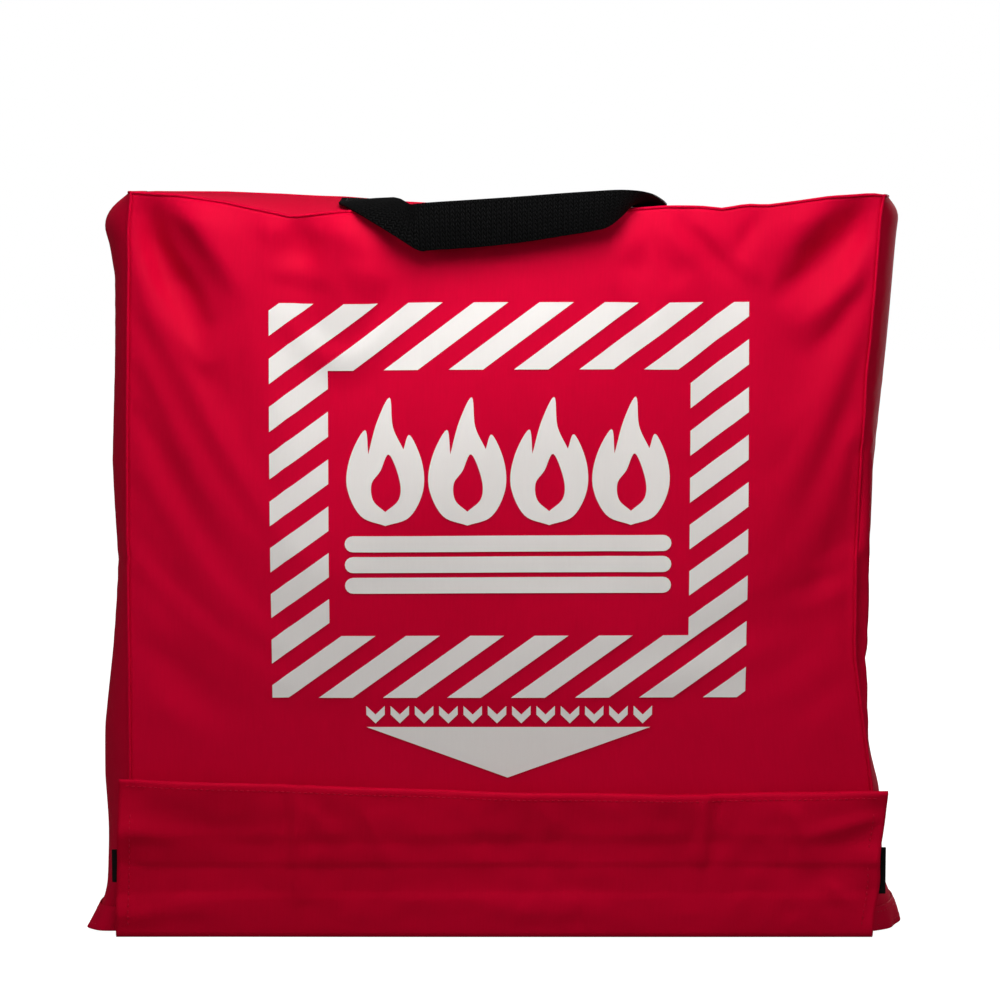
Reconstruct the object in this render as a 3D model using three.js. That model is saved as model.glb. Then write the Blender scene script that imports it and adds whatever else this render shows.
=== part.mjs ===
// A fire blanket in its storage bag: a red cloth bag that stands on its bottom flap, with a folded
// wool blanket inside. The flap runs from the back panel under the open bottom and up the front,
// where hook-and-loop tape holds it. Millimetres, +Z up, the front faces -Y.
import * as THREE from "three";

// Driving dimensions
const seamWidth = 388; // front panel, seam to seam
const bagDepth = 76;
const topMiddle = 381; // height of the top seam at its middle
const topCorner = 392; // height of the top seam at the corners
const cloth = 1.2; // coated cloth, its folds and its coating as one plate
const gap = 0.3; // left between pieces that touch
const sideBulge = 13; // how far a side gusset stands outside its seams
const hemBulge = 19; // how far its open bottom hem flares
const hemHeight = 13;
const shoulderHeight = 14; // where the side bulge rounds in to the top corner
const bindingDepth = 4.5; // tape over the seam allowances inside the bag
const flapWidth = 404;
const flapLeftHeight = 84; // the flap's free edge droops from left to right
const flapMiddleHeight = 76.5;
const flapRightHeight = 77;
const flapHem = 10;
const tapeWidth = 25; // hook-and-loop tape
const tapeBottom = 24;
const tapeThick = 1.2;
const webbingWidth = 25.4; // one-inch webbing
const webbingThick = 1.6;
const handleSpacing = 147; // between the middles of the sewn ends
const handleEndLength = 22;
const handleReach = 51; // how far the loop hangs in front of the sewn ends
const handleDroopLeft = 9; // how far each side of it hangs lower
const handleDroopRight = 4;
const blanketWidth = 381; // 1524 mm folded in four
const blanketHeight = 339; // 2032 mm folded in six
const blanketDepth = 60;
const blanketFolds = 6;
const blanketSlit = 0.8; // left between the folded leaves

const halfSeam = seamWidth / 2;
const halfDepth = bagDepth / 2;
const insideY = halfDepth - cloth - gap; // inner face of the front and back panels, less a gap
const flapTop = cloth; // top face of the flap where it lies under the bag
const bagBottom = flapTop + 2 * gap + cloth; // the bag's own cloth starts above the flap's side hems

const red = [0xb80828, 0.55];
const black = [0x101010, 0.8];
const tapeBlack = [0x080808, 0.95];
const thread = [0xa00622, 0.7];
const wool = [0x8d8a84, 1.0];

function piece(name, geometry, [color, roughness]) {
  const material = new THREE.MeshStandardMaterial({ color, roughness, metalness: 0 });
  const mesh = new THREE.Mesh(geometry, material);
  mesh.name = name;
  return mesh;
}

function block(x0, x1, y0, y1, z0, z1) {
  const box = new THREE.BoxGeometry(x1 - x0, y1 - y0, z1 - z0);
  return box.translate((x0 + x1) / 2, (y0 + y1) / 2, (z0 + z1) / 2);
}

// An outline drawn in X and Z, given its thickness from frontY back towards +Y.
function upright(outline, frontY, thickness) {
  const plate = new THREE.ExtrudeGeometry(outline, {
    depth: thickness,
    bevelEnabled: false,
    curveSegments: 16,
  });
  return plate.rotateX(Math.PI / 2).translate(0, frontY + thickness, 0);
}

// The sagging top edge, from one corner to the other, shrunk sideways and lowered by `inset`.
function topCurve(outline, halfWidth, lower, direction) {
  const control = 2 * topMiddle - topCorner; // puts the curve's middle at topMiddle
  outline.quadraticCurveTo(0, control - lower, direction * halfWidth, topCorner - lower);
}

function panelOutline(halfWidth, bottom, lower) {
  const outline = new THREE.Shape();
  outline.moveTo(-halfWidth, bottom);
  outline.lineTo(halfWidth, bottom);
  outline.lineTo(halfWidth, topCorner - lower);
  topCurve(outline, halfWidth, lower, -1);
  outline.closePath();
  return outline;
}

function makePanels() {
  const outline = () => panelOutline(halfSeam, bagBottom, 0);
  const front = upright(outline(), -halfDepth, cloth);
  const back = upright(outline(), halfDepth - cloth, cloth);
  const hemHalf = halfSeam - 4;
  const hem = block(-hemHalf, hemHalf, -insideY, -insideY + cloth, bagBottom, bagBottom + hemHeight);
  return [
    piece("front_panel", front, red),
    piece("back_panel", back, red),
    piece("front_hem", hem, red),
  ];
}

function makeTopGusset() {
  const halfWidth = halfSeam - gap - 0.2;
  const outline = new THREE.Shape();
  outline.moveTo(-halfWidth, topCorner - cloth);
  topCurve(outline, halfWidth, cloth, 1);
  outline.lineTo(halfWidth, topCorner);
  topCurve(outline, halfWidth, 0, -1);
  outline.closePath();
  return piece("top_gusset", upright(outline, -insideY, 2 * insideY), red);
}

// How far a side gusset's middle stands outside its seams at height z.
function bulgeAt(z) {
  const flare = (hemBulge - sideBulge) * (1 - THREE.MathUtils.smoothstep(z, bagBottom, 3 * hemHeight));
  const shoulder = Math.min(1, (topCorner - z) / shoulderHeight);
  return flare + sideBulge * Math.sqrt(1 - (1 - shoulder) ** 2);
}

// A strip of side gusset from z0 to z1, bent outwards between the front seam and the back seam.
function gussetStrip(side, z0, z1, thickness, rows) {
  const strip = new THREE.BoxGeometry(thickness, 2 * insideY, z1 - z0, 1, 12, rows);
  strip.translate(side * (halfSeam + 0.2 + thickness / 2), 0, (z0 + z1) / 2);
  const position = strip.getAttribute("position");
  for (let i = 0; i < position.count; i += 1) {
    const crown = 1 - (position.getY(i) / insideY) ** 2;
    position.setX(i, position.getX(i) + side * crown * (bulgeAt(position.getZ(i)) - thickness));
  }
  return strip;
}

function makeSideGusset(name, side) {
  const hemTop = bagBottom + hemHeight;
  const wall = gussetStrip(side, hemTop + gap, topCorner - cloth, cloth, 26);
  const hem = gussetStrip(side, bagBottom, hemTop, 2 * cloth, 1);
  return [piece(name + "_gusset", wall, red), piece(name + "_gusset_hem", hem, red)];
}

// The tape that binds a seam allowance inside the bag: up one side, over and down the other.
function makeBinding(name, frontY) {
  const width = 2;
  const outer = halfSeam - 1;
  const inner = outer - width;
  const outline = new THREE.Shape();
  outline.moveTo(-outer, bagBottom + hemHeight + gap);
  outline.lineTo(-inner, bagBottom + hemHeight + gap);
  outline.lineTo(-inner, topCorner - cloth - width - 1);
  topCurve(outline, inner, cloth + width + 1, 1);
  outline.lineTo(inner, bagBottom + hemHeight + gap);
  outline.lineTo(outer, bagBottom + hemHeight + gap);
  outline.lineTo(outer, topCorner - cloth - 1);
  topCurve(outline, outer, cloth + 1, -1);
  outline.closePath();
  return piece(name, upright(outline, frontY, bindingDepth), red);
}

// Height of the flap's free edge at x.
function flapTopAt(x) {
  const endHeight = x < 0 ? flapLeftHeight : flapRightHeight;
  return THREE.MathUtils.lerp(flapMiddleHeight, endHeight, Math.abs(x) / (flapWidth / 2));
}

function pointsOutline(points) {
  return new THREE.Shape(points.map(([x, y]) => new THREE.Vector2(x, y)));
}

const loopFront = -halfDepth - gap - tapeThick;
const hookFront = loopFront - gap - tapeThick;
const hemFront = hookFront - gap - cloth;
const flapFront = hemFront - gap - cloth;

function makeTapes() {
  const z1 = tapeBottom + tapeWidth;
  const half = flapWidth / 2;
  const loop = block(-halfSeam + 1, halfSeam - 1, loopFront, loopFront + tapeThick, tapeBottom, z1);
  const hook = block(-half - 0.5, half + 0.5, hookFront, hookFront + tapeThick, tapeBottom, z1);
  return [piece("loop_tape", loop, tapeBlack), piece("hook_tape", hook, tapeBlack)];
}

function makeFlap() {
  const half = flapWidth / 2;
  const standing = flapTop + gap;
  const edge = (x, lower) => [x, flapTopAt(x) - lower];
  const sheet = pointsOutline([
    [-half, standing], [half, standing], edge(half, 0), edge(0, 0), edge(-half, 0),
  ]);
  const outer = half - 1;
  const inner = outer - flapHem;
  const hem = pointsOutline([
    [-inner, standing], edge(-inner, flapHem + 1), edge(0, flapHem + 1),
    edge(inner, flapHem + 1), [inner, standing],
    [outer, standing], edge(outer, 1), edge(0, 1), edge(-outer, 1), [-outer, standing],
  ]);
  const stripFront = hemFront + cloth + gap;
  const strip = (x0) => block(x0, x0 + flapHem, stripFront, halfDepth - 2, standing, standing + cloth);
  return [
    piece("flap_front", upright(sheet, flapFront, cloth), red),
    piece("flap_hem", upright(hem, hemFront, cloth), red),
    piece("flap_bottom", block(-half, half, flapFront, halfDepth, 0, flapTop), red),
    piece("flap_bottom_hem_left", strip(-outer), red),
    piece("flap_bottom_hem_right", strip(inner), red),
  ];
}

const handleBase = topMiddle + 3.2; // underside of the sewn ends, just over the sagging top
const handleAxisZ = handleBase + webbingThick / 2;

function makeHandleEnd(name, centreX) {
  const half = handleEndLength / 2;
  const halfWeb = webbingWidth / 2;
  const top = handleBase + webbingThick;
  const pad = block(centreX - half, centreX + half, -halfWeb, halfWeb, handleBase, top);
  return piece("handle_end_" + name, pad, black);
}

// The box of stitches with a cross in it that holds a sewn end down.
function makeStitching(name, centreX) {
  const line = 1.2;
  const a = handleEndLength / 2 - 4; // half sizes of the box
  const b = webbingWidth / 2 - 3;
  const outline = pointsOutline([
    [-a - line, -b - line], [a + line, -b - line], [a + line, b + line], [-a - line, b + line],
  ]);
  const tall = b * (1 - line / a);
  const wide = a * (1 - line / b);
  for (const side of [-1, 1]) {
    const beside = pointsOutline([[side * line, 0], [side * a, tall], [side * a, -tall]]);
    const above = pointsOutline([[0, side * line], [wide, side * b], [-wide, side * b]]);
    outline.holes.push(beside, above);
  }
  const threads = new THREE.ExtrudeGeometry(outline, { depth: 0.8, bevelEnabled: false });
  threads.translate(centreX, 0, handleBase + webbingThick + gap);
  return piece("handle_stitching_" + name, threads, thread);
}

const smooth = (a, b, v) => THREE.MathUtils.smoothstep(v, a, b);

// The loop leaves each sewn end flat, comes forward over the top seam and turns to face the front.
function makeHandleStrap(halfSpan) {
  const steps = 56;
  const strip = new THREE.BoxGeometry(1, webbingWidth, webbingThick, steps, 1, 1);
  const forward = (u) => smooth(0, 0.26, u) * (1 - smooth(0.79, 1, u));
  const centre = (u) => {
    const out = forward(u);
    const droop = THREE.MathUtils.lerp(handleDroopLeft, handleDroopRight, smooth(0.25, 0.85, u));
    const rise = 3 * smooth(0, 0.5, out) - droop * smooth(0.8, 1, out);
    return new THREE.Vector3(halfSpan * (2 * u - 1), -handleReach * out, handleAxisZ + rise);
  };
  const position = strip.getAttribute("position");
  const point = new THREE.Vector3();
  for (let i = 0; i < position.count; i += 1) {
    point.fromBufferAttribute(position, i);
    const u = point.x + 0.5;
    const roll = (Math.PI / 2) * smooth(0.66, 1, forward(u));
    const { x, y, z } = centre(u);
    const across = y + point.y * Math.cos(roll) - point.z * Math.sin(roll);
    position.setXYZ(i, x, across, z + point.y * Math.sin(roll) + point.z * Math.cos(roll));
  }
  return piece("handle_strap", strip, black);
}

function makeHandle() {
  const ends = handleSpacing / 2;
  return [
    makeHandleEnd("left", -ends),
    makeHandleEnd("right", ends),
    makeStitching("left", -ends),
    makeStitching("right", ends),
    makeHandleStrap(ends - handleEndLength / 2 - gap),
  ];
}

// The folded blanket: a thick leaf of four layers that runs up and down in an S, bent round at each
// fold, drawn in Y and Z and as wide as the bag allows.
function makeBlanket() {
  const leaf = (blanketDepth - (blanketFolds - 1) * blanketSlit) / blanketFolds;
  const bend = leaf + blanketSlit / 2; // outside radius of a fold
  const low = flapTop + gap;
  const high = low + blanketHeight;
  const front = (i) => -blanketDepth / 2 + i * (leaf + blanketSlit);
  const back = (i) => front(i) + leaf;
  const slitMiddle = (i) => back(i) + blanketSlit / 2;
  const outline = new THREE.Shape();
  outline.moveTo(front(0), low);
  for (let i = 0; i < blanketFolds; i += 2) {
    outline.lineTo(front(i), high - bend);
    outline.absarc(front(i) + bend, high - bend, bend, Math.PI, 0, true);
    if (i + 2 < blanketFolds) {
      outline.lineTo(back(i + 1), low + bend);
      outline.absarc(slitMiddle(i + 1), low + bend, blanketSlit / 2, Math.PI, 2 * Math.PI, false);
    }
  }
  outline.lineTo(back(blanketFolds - 1), low);
  outline.lineTo(front(blanketFolds - 1), low);
  for (let i = blanketFolds - 2; i >= 0; i -= 2) {
    outline.lineTo(front(i + 1), high - bend);
    outline.absarc(slitMiddle(i), high - bend, blanketSlit / 2, 0, Math.PI, false);
    if (i > 0) {
      outline.lineTo(back(i), low + bend);
      outline.absarc(front(i - 1) + bend, low + bend, bend, 0, -Math.PI, true);
    }
  }
  outline.lineTo(back(0), low);
  outline.closePath();
  const stack = new THREE.ExtrudeGeometry(outline, {
    depth: blanketWidth,
    bevelEnabled: false,
    curveSegments: 8,
  });
  stack.translate(0, 0, -blanketWidth / 2);
  const axes = [new THREE.Vector3(0, 1, 0), new THREE.Vector3(0, 0, 1), new THREE.Vector3(1, 0, 0)];
  return piece("blanket", stack.applyMatrix4(new THREE.Matrix4().makeBasis(...axes)), wool);
}

const bag = new THREE.Group();
bag.add(
  ...makePanels(),
  makeTopGusset(),
  ...makeSideGusset("left", -1),
  ...makeSideGusset("right", 1),
  makeBinding("front_binding", -insideY),
  makeBinding("back_binding", insideY - bindingDepth),
  ...makeTapes(),
  ...makeFlap(),
  ...makeHandle(),
  makeBlanket(),
);

// The origin is the middle of the bottom of the whole object's box, handle included.
const middle = new THREE.Box3().setFromObject(bag).getCenter(new THREE.Vector3());
bag.position.set(-middle.x, -middle.y, 0);

const part = new THREE.Group();
part.add(bag);

export default part;
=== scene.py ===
import math

import bmesh
import bpy
import numpy as np
from mathutils import Matrix, Vector


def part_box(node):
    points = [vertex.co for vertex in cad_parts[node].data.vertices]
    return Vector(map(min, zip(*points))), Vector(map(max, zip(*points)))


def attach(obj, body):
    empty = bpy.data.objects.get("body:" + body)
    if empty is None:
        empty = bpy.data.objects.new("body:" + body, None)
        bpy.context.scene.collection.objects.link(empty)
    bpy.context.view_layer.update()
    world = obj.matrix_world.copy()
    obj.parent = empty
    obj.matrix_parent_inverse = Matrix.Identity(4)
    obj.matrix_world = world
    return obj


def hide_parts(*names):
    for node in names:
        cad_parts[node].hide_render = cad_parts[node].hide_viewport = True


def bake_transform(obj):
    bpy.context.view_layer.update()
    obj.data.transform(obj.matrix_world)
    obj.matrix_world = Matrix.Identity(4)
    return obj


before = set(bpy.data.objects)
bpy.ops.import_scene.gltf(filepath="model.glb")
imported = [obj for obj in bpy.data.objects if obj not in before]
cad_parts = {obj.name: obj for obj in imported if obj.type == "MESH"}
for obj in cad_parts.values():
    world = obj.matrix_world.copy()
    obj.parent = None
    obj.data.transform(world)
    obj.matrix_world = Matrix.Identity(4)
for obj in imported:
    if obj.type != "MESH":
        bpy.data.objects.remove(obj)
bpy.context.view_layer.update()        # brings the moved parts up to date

mm = 0.001
scene = bpy.context.scene

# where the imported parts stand
panelLow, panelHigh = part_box("front_panel")
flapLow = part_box("flap_front")[0]
loopLow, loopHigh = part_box("loop_tape")
hookLow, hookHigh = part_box("hook_tape")
endLow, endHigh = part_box("handle_end_left")
rightEndLow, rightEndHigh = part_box("handle_end_right")
blanketLow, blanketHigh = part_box("blanket")
hemLow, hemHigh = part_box("front_hem")
frontY = panelLow.y
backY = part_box("back_panel")[1].y
bagBottom = panelLow.z
seamX = panelHigh.x
seamTop = 0.392  # height of the top seams before the cloth sags


def ease(a, b, v):
    # 0 before a, 1 after b, and soft between them
    t = np.clip((np.asarray(v, float) - a) / (b - a), 0, 1)
    return t * t * (3 - 2 * t)


def along(table, v):
    # a table of (place, value) pairs read at v
    xs, ys = zip(*table)
    return np.interp(v, xs, ys)


def softTable(table, v, reach):
    # a table read with its corners rounded over `reach`
    return sum(along(table, v + s * reach) for s in (-1, -0.5, 0, 0.5, 1)) / 5


def toObject(name, bm, material, smooth=True):
    mesh = bpy.data.meshes.new(name)
    bm.to_mesh(mesh)
    bm.free()
    mesh.materials.append(material)
    mesh.polygons.foreach_set("use_smooth", [smooth] * len(mesh.polygons))
    obj = bpy.data.objects.new(name, mesh)
    scene.collection.objects.link(obj)
    return obj


def mappedSheet(name, across, up, place, material, size=(1, 1)):
    # a grid laid over place(u, v), with its map in metres of cloth
    bm = bmesh.new()
    bmesh.ops.create_grid(bm, x_segments=across, y_segments=up, size=0.5)
    uvLayer = bm.loops.layers.uv.new("clothMap")
    for face in bm.faces:
        for loop in face.loops:
            u, v = loop.vert.co.x + 0.5, loop.vert.co.y + 0.5
            loop[uvLayer].uv = (u * size[0], v * size[1])
    for vert in bm.verts:
        vert.co = place(vert.co.x + 0.5, vert.co.y + 0.5)
    return toObject(name, bm, material)


def thicken(obj, thickness, offset=-1, rounded=0.0, levels=0):
    if levels:
        smoothing = obj.modifiers.new("smoothing", "SUBSURF")
        smoothing.levels = smoothing.render_levels = levels
        smoothing.boundary_smooth = "PRESERVE_CORNERS"
    wall = obj.modifiers.new("wall", "SOLIDIFY")
    wall.thickness = thickness
    wall.offset = offset
    wall.use_even_offset = False
    if rounded:
        edge = obj.modifiers.new("edge", "BEVEL")
        edge.width = rounded
        edge.segments = 2
        edge.limit_method = "ANGLE"
        edge.angle_limit = math.radians(60)
    return obj


def spline(points, steps):
    # a smooth run through the given points, `steps` for each span
    pts = [Vector(p) for p in points]
    pts = [2 * pts[0] - pts[1]] + pts + [2 * pts[-1] - pts[-2]]
    run = []
    for a, b, c, d in zip(pts, pts[1:], pts[2:], pts[3:]):
        for k in range(steps):
            t = k / steps
            run.append(0.5 * (2 * b + (c - a) * t + (2 * a - 5 * b + 4 * c - d) * t * t
                              + (3 * b - a - 3 * c + d) * t ** 3))
    run.append(pts[-2])
    return run


def roll(name, points, radius, material, sides=8):
    # a thin round roll of cloth that follows the points, closed at its ends
    curve = bpy.data.curves.new(name, "CURVE")
    curve.dimensions = "3D"
    line = curve.splines.new("POLY")
    line.points.add(len(points) - 1)
    for point, at in zip(line.points, points):
        point.co = (*at, 1)
    curve.bevel_depth = radius
    curve.bevel_resolution = sides // 4
    curve.use_fill_caps = True
    holder = bpy.data.objects.new(name + "Line", curve)
    scene.collection.objects.link(holder)
    graph = bpy.context.evaluated_depsgraph_get()
    mesh = bpy.data.meshes.new_from_object(holder.evaluated_get(graph))
    bpy.data.objects.remove(holder)
    bm = bmesh.new()
    bm.from_mesh(mesh)
    bmesh.ops.remove_doubles(bm, verts=bm.verts, dist=1e-6)
    bmesh.ops.recalc_face_normals(bm, faces=bm.faces)
    bpy.data.meshes.remove(mesh)
    return toObject(name, bm, material)


def resample(points, pitch):
    pts = np.array([tuple(p) for p in points])
    reach = np.concatenate([[0], np.cumsum(np.linalg.norm(np.diff(pts, axis=0), axis=1))])
    count = max(2, int(reach[-1] / pitch))
    at = np.linspace(0, reach[-1], count)
    return np.stack([np.interp(at, reach, pts[:, k]) for k in range(3)], axis=1)


stitchSize = {"pitch": 3.0 * mm, "length": 2.2 * mm, "thread": 0.27 * mm}


def sewLine(bm, points, outward, size=stitchSize):
    # one row of stitches; outward is the way the cloth faces there
    marks = resample(points, size["pitch"])
    for a, b in zip(marks[:-1], marks[1:]):
        run = Vector(b - a)
        if run.length < 1e-6:
            continue
        middle = (Vector(a) + Vector(b)) / 2
        face = Vector(outward(middle) if callable(outward) else outward).normalized()
        side = run.normalized().cross(face).normalized()
        turn = Matrix((run.normalized(), side, face)).transposed().to_4x4()
        scale = Matrix.Diagonal((size["length"] / 2, size["thread"], size["thread"] * 0.8, 1))
        bmesh.ops.create_icosphere(bm, subdivisions=1, radius=1,
                                   matrix=Matrix.Translation(middle) @ turn @ scale)


def sewnPiece(name, bm, material, body):
    sewn = toObject(name, bm, material)
    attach(sewn, body)
    return sewn


def nodeGroup(name, inputs, outputs):
    group = bpy.data.node_groups.new(name, "ShaderNodeTree")
    for label, kind, value in inputs:
        socket = group.interface.new_socket(name=label, in_out="INPUT", socket_type=kind)
        if value is not None:
            socket.default_value = value
    for label, kind in outputs:
        group.interface.new_socket(name=label, in_out="OUTPUT", socket_type=kind)
    return group, group.nodes.new("NodeGroupInput"), group.nodes.new("NodeGroupOutput")


def mathNode(tree, operation, a, b=None, c=None):
    node = tree.nodes.new("ShaderNodeMath")
    node.operation = operation
    for socket, value in zip(node.inputs, (a, b, c)):
        if value is None:
            continue
        if isinstance(value, (int, float)):
            socket.default_value = value
        else:
            tree.links.new(value, socket)
    return node.outputs[0]


def noiseNode(tree, vector, scale, **values):
    # scale is a number or a socket
    node = tree.nodes.new("ShaderNodeTexNoise")
    tree.links.new(vector, node.inputs["Vector"])
    if isinstance(scale, (int, float)):
        node.inputs["Scale"].default_value = scale
    else:
        tree.links.new(scale, node.inputs["Scale"])
    for label, value in values.items():
        node.inputs[label].default_value = value
    return node


def buildPlainWeave():
    # over-and-under threads, with some threads thicker than others; the Shade output is painted shade,
    # darker where the threads dip, plus the real tone of the thicker threads
    group, into, out = nodeGroup(
        "plainWeave",
        [("Vector", "NodeSocketVector", None), ("Threads", "NodeSocketFloat", 1800.0),
         ("Slub", "NodeSocketFloat", 0.3)],
        [("Height", "NodeSocketFloat"), ("Shade", "NodeSocketFloat")])
    split = group.nodes.new("ShaderNodeSeparateXYZ")
    group.links.new(into.outputs["Vector"], split.inputs[0])
    threads = into.outputs["Threads"]
    phaseU = mathNode(group, "MULTIPLY", split.outputs[0], threads)
    phaseV = mathNode(group, "MULTIPLY", split.outputs[1], threads)
    waveU = mathNode(group, "SINE", mathNode(group, "MULTIPLY", phaseU, math.pi))
    waveV = mathNode(group, "SINE", mathNode(group, "MULTIPLY", phaseV, math.pi))
    woven = mathNode(group, "ABSOLUTE", mathNode(group, "MULTIPLY", waveU, waveV))
    stretch = group.nodes.new("ShaderNodeMapping")
    stretch.inputs["Scale"].default_value = (1, 0.08, 1)
    group.links.new(into.outputs["Vector"], stretch.inputs["Vector"])
    streak = noiseNode(group, stretch.outputs[0], 900)
    streak.noise_dimensions = "2D"
    uneven = mathNode(group, "MULTIPLY", streak.outputs[0], into.outputs["Slub"])
    group.links.new(mathNode(group, "ADD", woven, uneven), out.inputs["Height"])
    # painted shade: the colour is darker in the hollows of the weave, with the thicker threads' real tone
    # added
    shade = mathNode(group, "ADD", mathNode(group, "MULTIPLY", woven, 0.6), uneven)
    group.links.new(shade, out.inputs["Shade"])
    return group


def buildCrumple():
    # fine handling creases in coated cloth, as heights
    group, into, out = nodeGroup(
        "handlingCreases",
        [("Vector", "NodeSocketVector", None), ("Scale", "NodeSocketFloat", 22.0)],
        [("Height", "NodeSocketFloat")])
    bend = noiseNode(group, into.outputs["Vector"], into.outputs["Scale"], Detail=3)
    cells = group.nodes.new("ShaderNodeTexVoronoi")
    cells.feature = "DISTANCE_TO_EDGE"
    warped = group.nodes.new("ShaderNodeVectorMath")
    warped.operation = "MULTIPLY_ADD"
    warped.inputs[1].default_value = (0.03, 0.03, 0.03)
    group.links.new(bend.outputs["Color"], warped.inputs[0])
    group.links.new(into.outputs["Vector"], warped.inputs[2])
    group.links.new(warped.outputs[0], cells.inputs["Vector"])
    group.links.new(into.outputs["Scale"], cells.inputs["Scale"])
    edges = mathNode(group, "POWER", cells.outputs["Distance"], 0.6)
    height = mathNode(group, "ADD", mathNode(group, "MULTIPLY", edges, 0.35), bend.outputs[0])
    group.links.new(height, out.inputs["Height"])
    return group


def buildWebbingWeave():
    # rows of slanted loops like a plait, two threads to each rib; the Shade output is painted shade, darker
    # in the hollows of the plait
    group, into, out = nodeGroup(
        "webbingWeave",
        [("Vector", "NodeSocketVector", None), ("Ribs", "NodeSocketFloat", 755.0),
         ("Loops", "NodeSocketFloat", 417.0)],
        [("Height", "NodeSocketFloat"), ("Shade", "NodeSocketFloat")])
    split = group.nodes.new("ShaderNodeSeparateXYZ")
    group.links.new(into.outputs["Vector"], split.inputs[0])
    rib = mathNode(group, "MULTIPLY", split.outputs[0], into.outputs["Ribs"])
    slant = mathNode(group, "MULTIPLY", mathNode(group, "PINGPONG", rib, 1.0), 0.75)
    run = mathNode(group, "MULTIPLY", split.outputs[1], into.outputs["Loops"])
    loop = mathNode(group, "ADD", run, slant)
    loopSine = mathNode(group, "SINE", mathNode(group, "MULTIPLY", loop, math.pi))
    ribSine = mathNode(group, "SINE", mathNode(group, "MULTIPLY", rib, math.pi))
    loopWave = mathNode(group, "ABSOLUTE", loopSine)
    ribWave = mathNode(group, "ABSOLUTE", ribSine)
    height = mathNode(group, "MULTIPLY", mathNode(group, "POWER", loopWave, 0.6),
                      mathNode(group, "POWER", ribWave, 0.5))
    group.links.new(height, out.inputs["Height"])
    # painted shade: the colour follows the loop heights
    group.links.new(mathNode(group, "MULTIPLY_ADD", height, 0.8, 0.1), out.inputs["Shade"])
    return group


def buildFuzz():
    # short fibres standing off the yarn; the Shade output is painted shade where the fibres dip, plus
    # patches of real tone
    group, into, out = nodeGroup(
        "fibreFuzz",
        [("Vector", "NodeSocketVector", None), ("Scale", "NodeSocketFloat", 900.0)],
        [("Height", "NodeSocketFloat"), ("Shade", "NodeSocketFloat")])
    strands = noiseNode(group, into.outputs["Vector"], into.outputs["Scale"],
                        Detail=6, Roughness=0.7, Distortion=1.2)
    patches = noiseNode(group, into.outputs["Vector"], 40, Detail=4)
    group.links.new(strands.outputs[0], out.inputs["Height"])
    # painted shade from the fibre heights, mixed with patches of real tone
    shade = mathNode(group, "ADD", mathNode(group, "MULTIPLY", strands.outputs[0], 0.6),
                     mathNode(group, "MULTIPLY", patches.outputs[0], 0.4))
    group.links.new(shade, out.inputs["Shade"])
    return group


plainWeave = buildPlainWeave()
handlingCreases = buildCrumple()
webbingWeave = buildWebbingWeave()
fibreFuzz = buildFuzz()


def newMaterial(name, roughness, specular=0.5, sheen=0.0, sheenRoughness=0.5):
    material = bpy.data.materials.new(name)
    material.use_nodes = True
    tree = material.node_tree
    shader = tree.nodes["Principled BSDF"]
    shader.inputs["Roughness"].default_value = roughness
    shader.inputs["Specular IOR Level"].default_value = specular
    shader.inputs["Sheen Weight"].default_value = sheen
    shader.inputs["Sheen Roughness"].default_value = sheenRoughness
    return material, tree, shader


def colourRamp(tree, value, low, high, start=0.2, end=0.9):
    ramp = tree.nodes.new("ShaderNodeValToRGB")
    ramp.color_ramp.elements[0].color = (*low, 1)
    ramp.color_ramp.elements[1].color = (*high, 1)
    ramp.color_ramp.elements[0].position = start
    ramp.color_ramp.elements[1].position = end
    tree.links.new(value, ramp.inputs[0])
    return ramp.outputs[0]


def addBump(tree, shader, heights):
    # heights are (value, strength, distance), stacked one on the next
    last = None
    for value, strength, distance in heights:
        bump = tree.nodes.new("ShaderNodeBump")
        bump.inputs["Strength"].default_value = strength
        bump.inputs["Distance"].default_value = distance
        tree.links.new(value, bump.inputs["Height"])
        if last:
            tree.links.new(last, bump.inputs["Normal"])
        last = bump.outputs[0]
    tree.links.new(last, shader.inputs["Normal"])


def useGroup(tree, group, vector, **values):
    node = tree.nodes.new("ShaderNodeGroup")
    node.node_tree = group
    tree.links.new(vector, node.inputs["Vector"])
    for label, value in values.items():
        node.inputs[label].default_value = value
    return node


coatedCloth = {"specular": 0.035, "threads": 1800.0, "creaseScale": 26.0, "toneScale": 7}


def clothMaterial(name, low, high, roughness, onMap=True, creases=0.35):
    material, tree, shader = newMaterial(name, roughness, coatedCloth["specular"])
    coords = tree.nodes.new("ShaderNodeTexCoord")
    vector = coords.outputs["UV" if onMap else "Object"]
    threads = useGroup(tree, plainWeave, vector, Threads=coatedCloth["threads"])
    crumple = useGroup(tree, handlingCreases, coords.outputs["Object"], Scale=coatedCloth["creaseScale"])
    tone = noiseNode(tree, coords.outputs["Object"], coatedCloth["toneScale"], Detail=4)
    # base colour: painted weave shade mixed with tone that differs at random
    mixed = mathNode(tree, "ADD", mathNode(tree, "MULTIPLY", threads.outputs["Shade"], 0.45),
                     mathNode(tree, "MULTIPLY", tone.outputs[0], 0.55))
    tree.links.new(colourRamp(tree, mixed, low, high), shader.inputs["Base Color"])
    addBump(tree, shader, [(crumple.outputs[0], creases, 1.2 * mm),
                           (threads.outputs["Height"], 0.35, 0.12 * mm)])
    return material


redCloth = clothMaterial("redCloth", (0.54, 0.0, 0.022), (0.79, 0.0006, 0.042), 0.6)
flapCloth = clothMaterial("flapCloth", (0.50, 0.0, 0.018), (0.73, 0.0004, 0.036), 0.6, creases=0.5)
innerCloth = clothMaterial("bindingCloth", (0.42, 0.0012, 0.018), (0.60, 0.0050, 0.035), 0.6, onMap=False)


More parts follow.
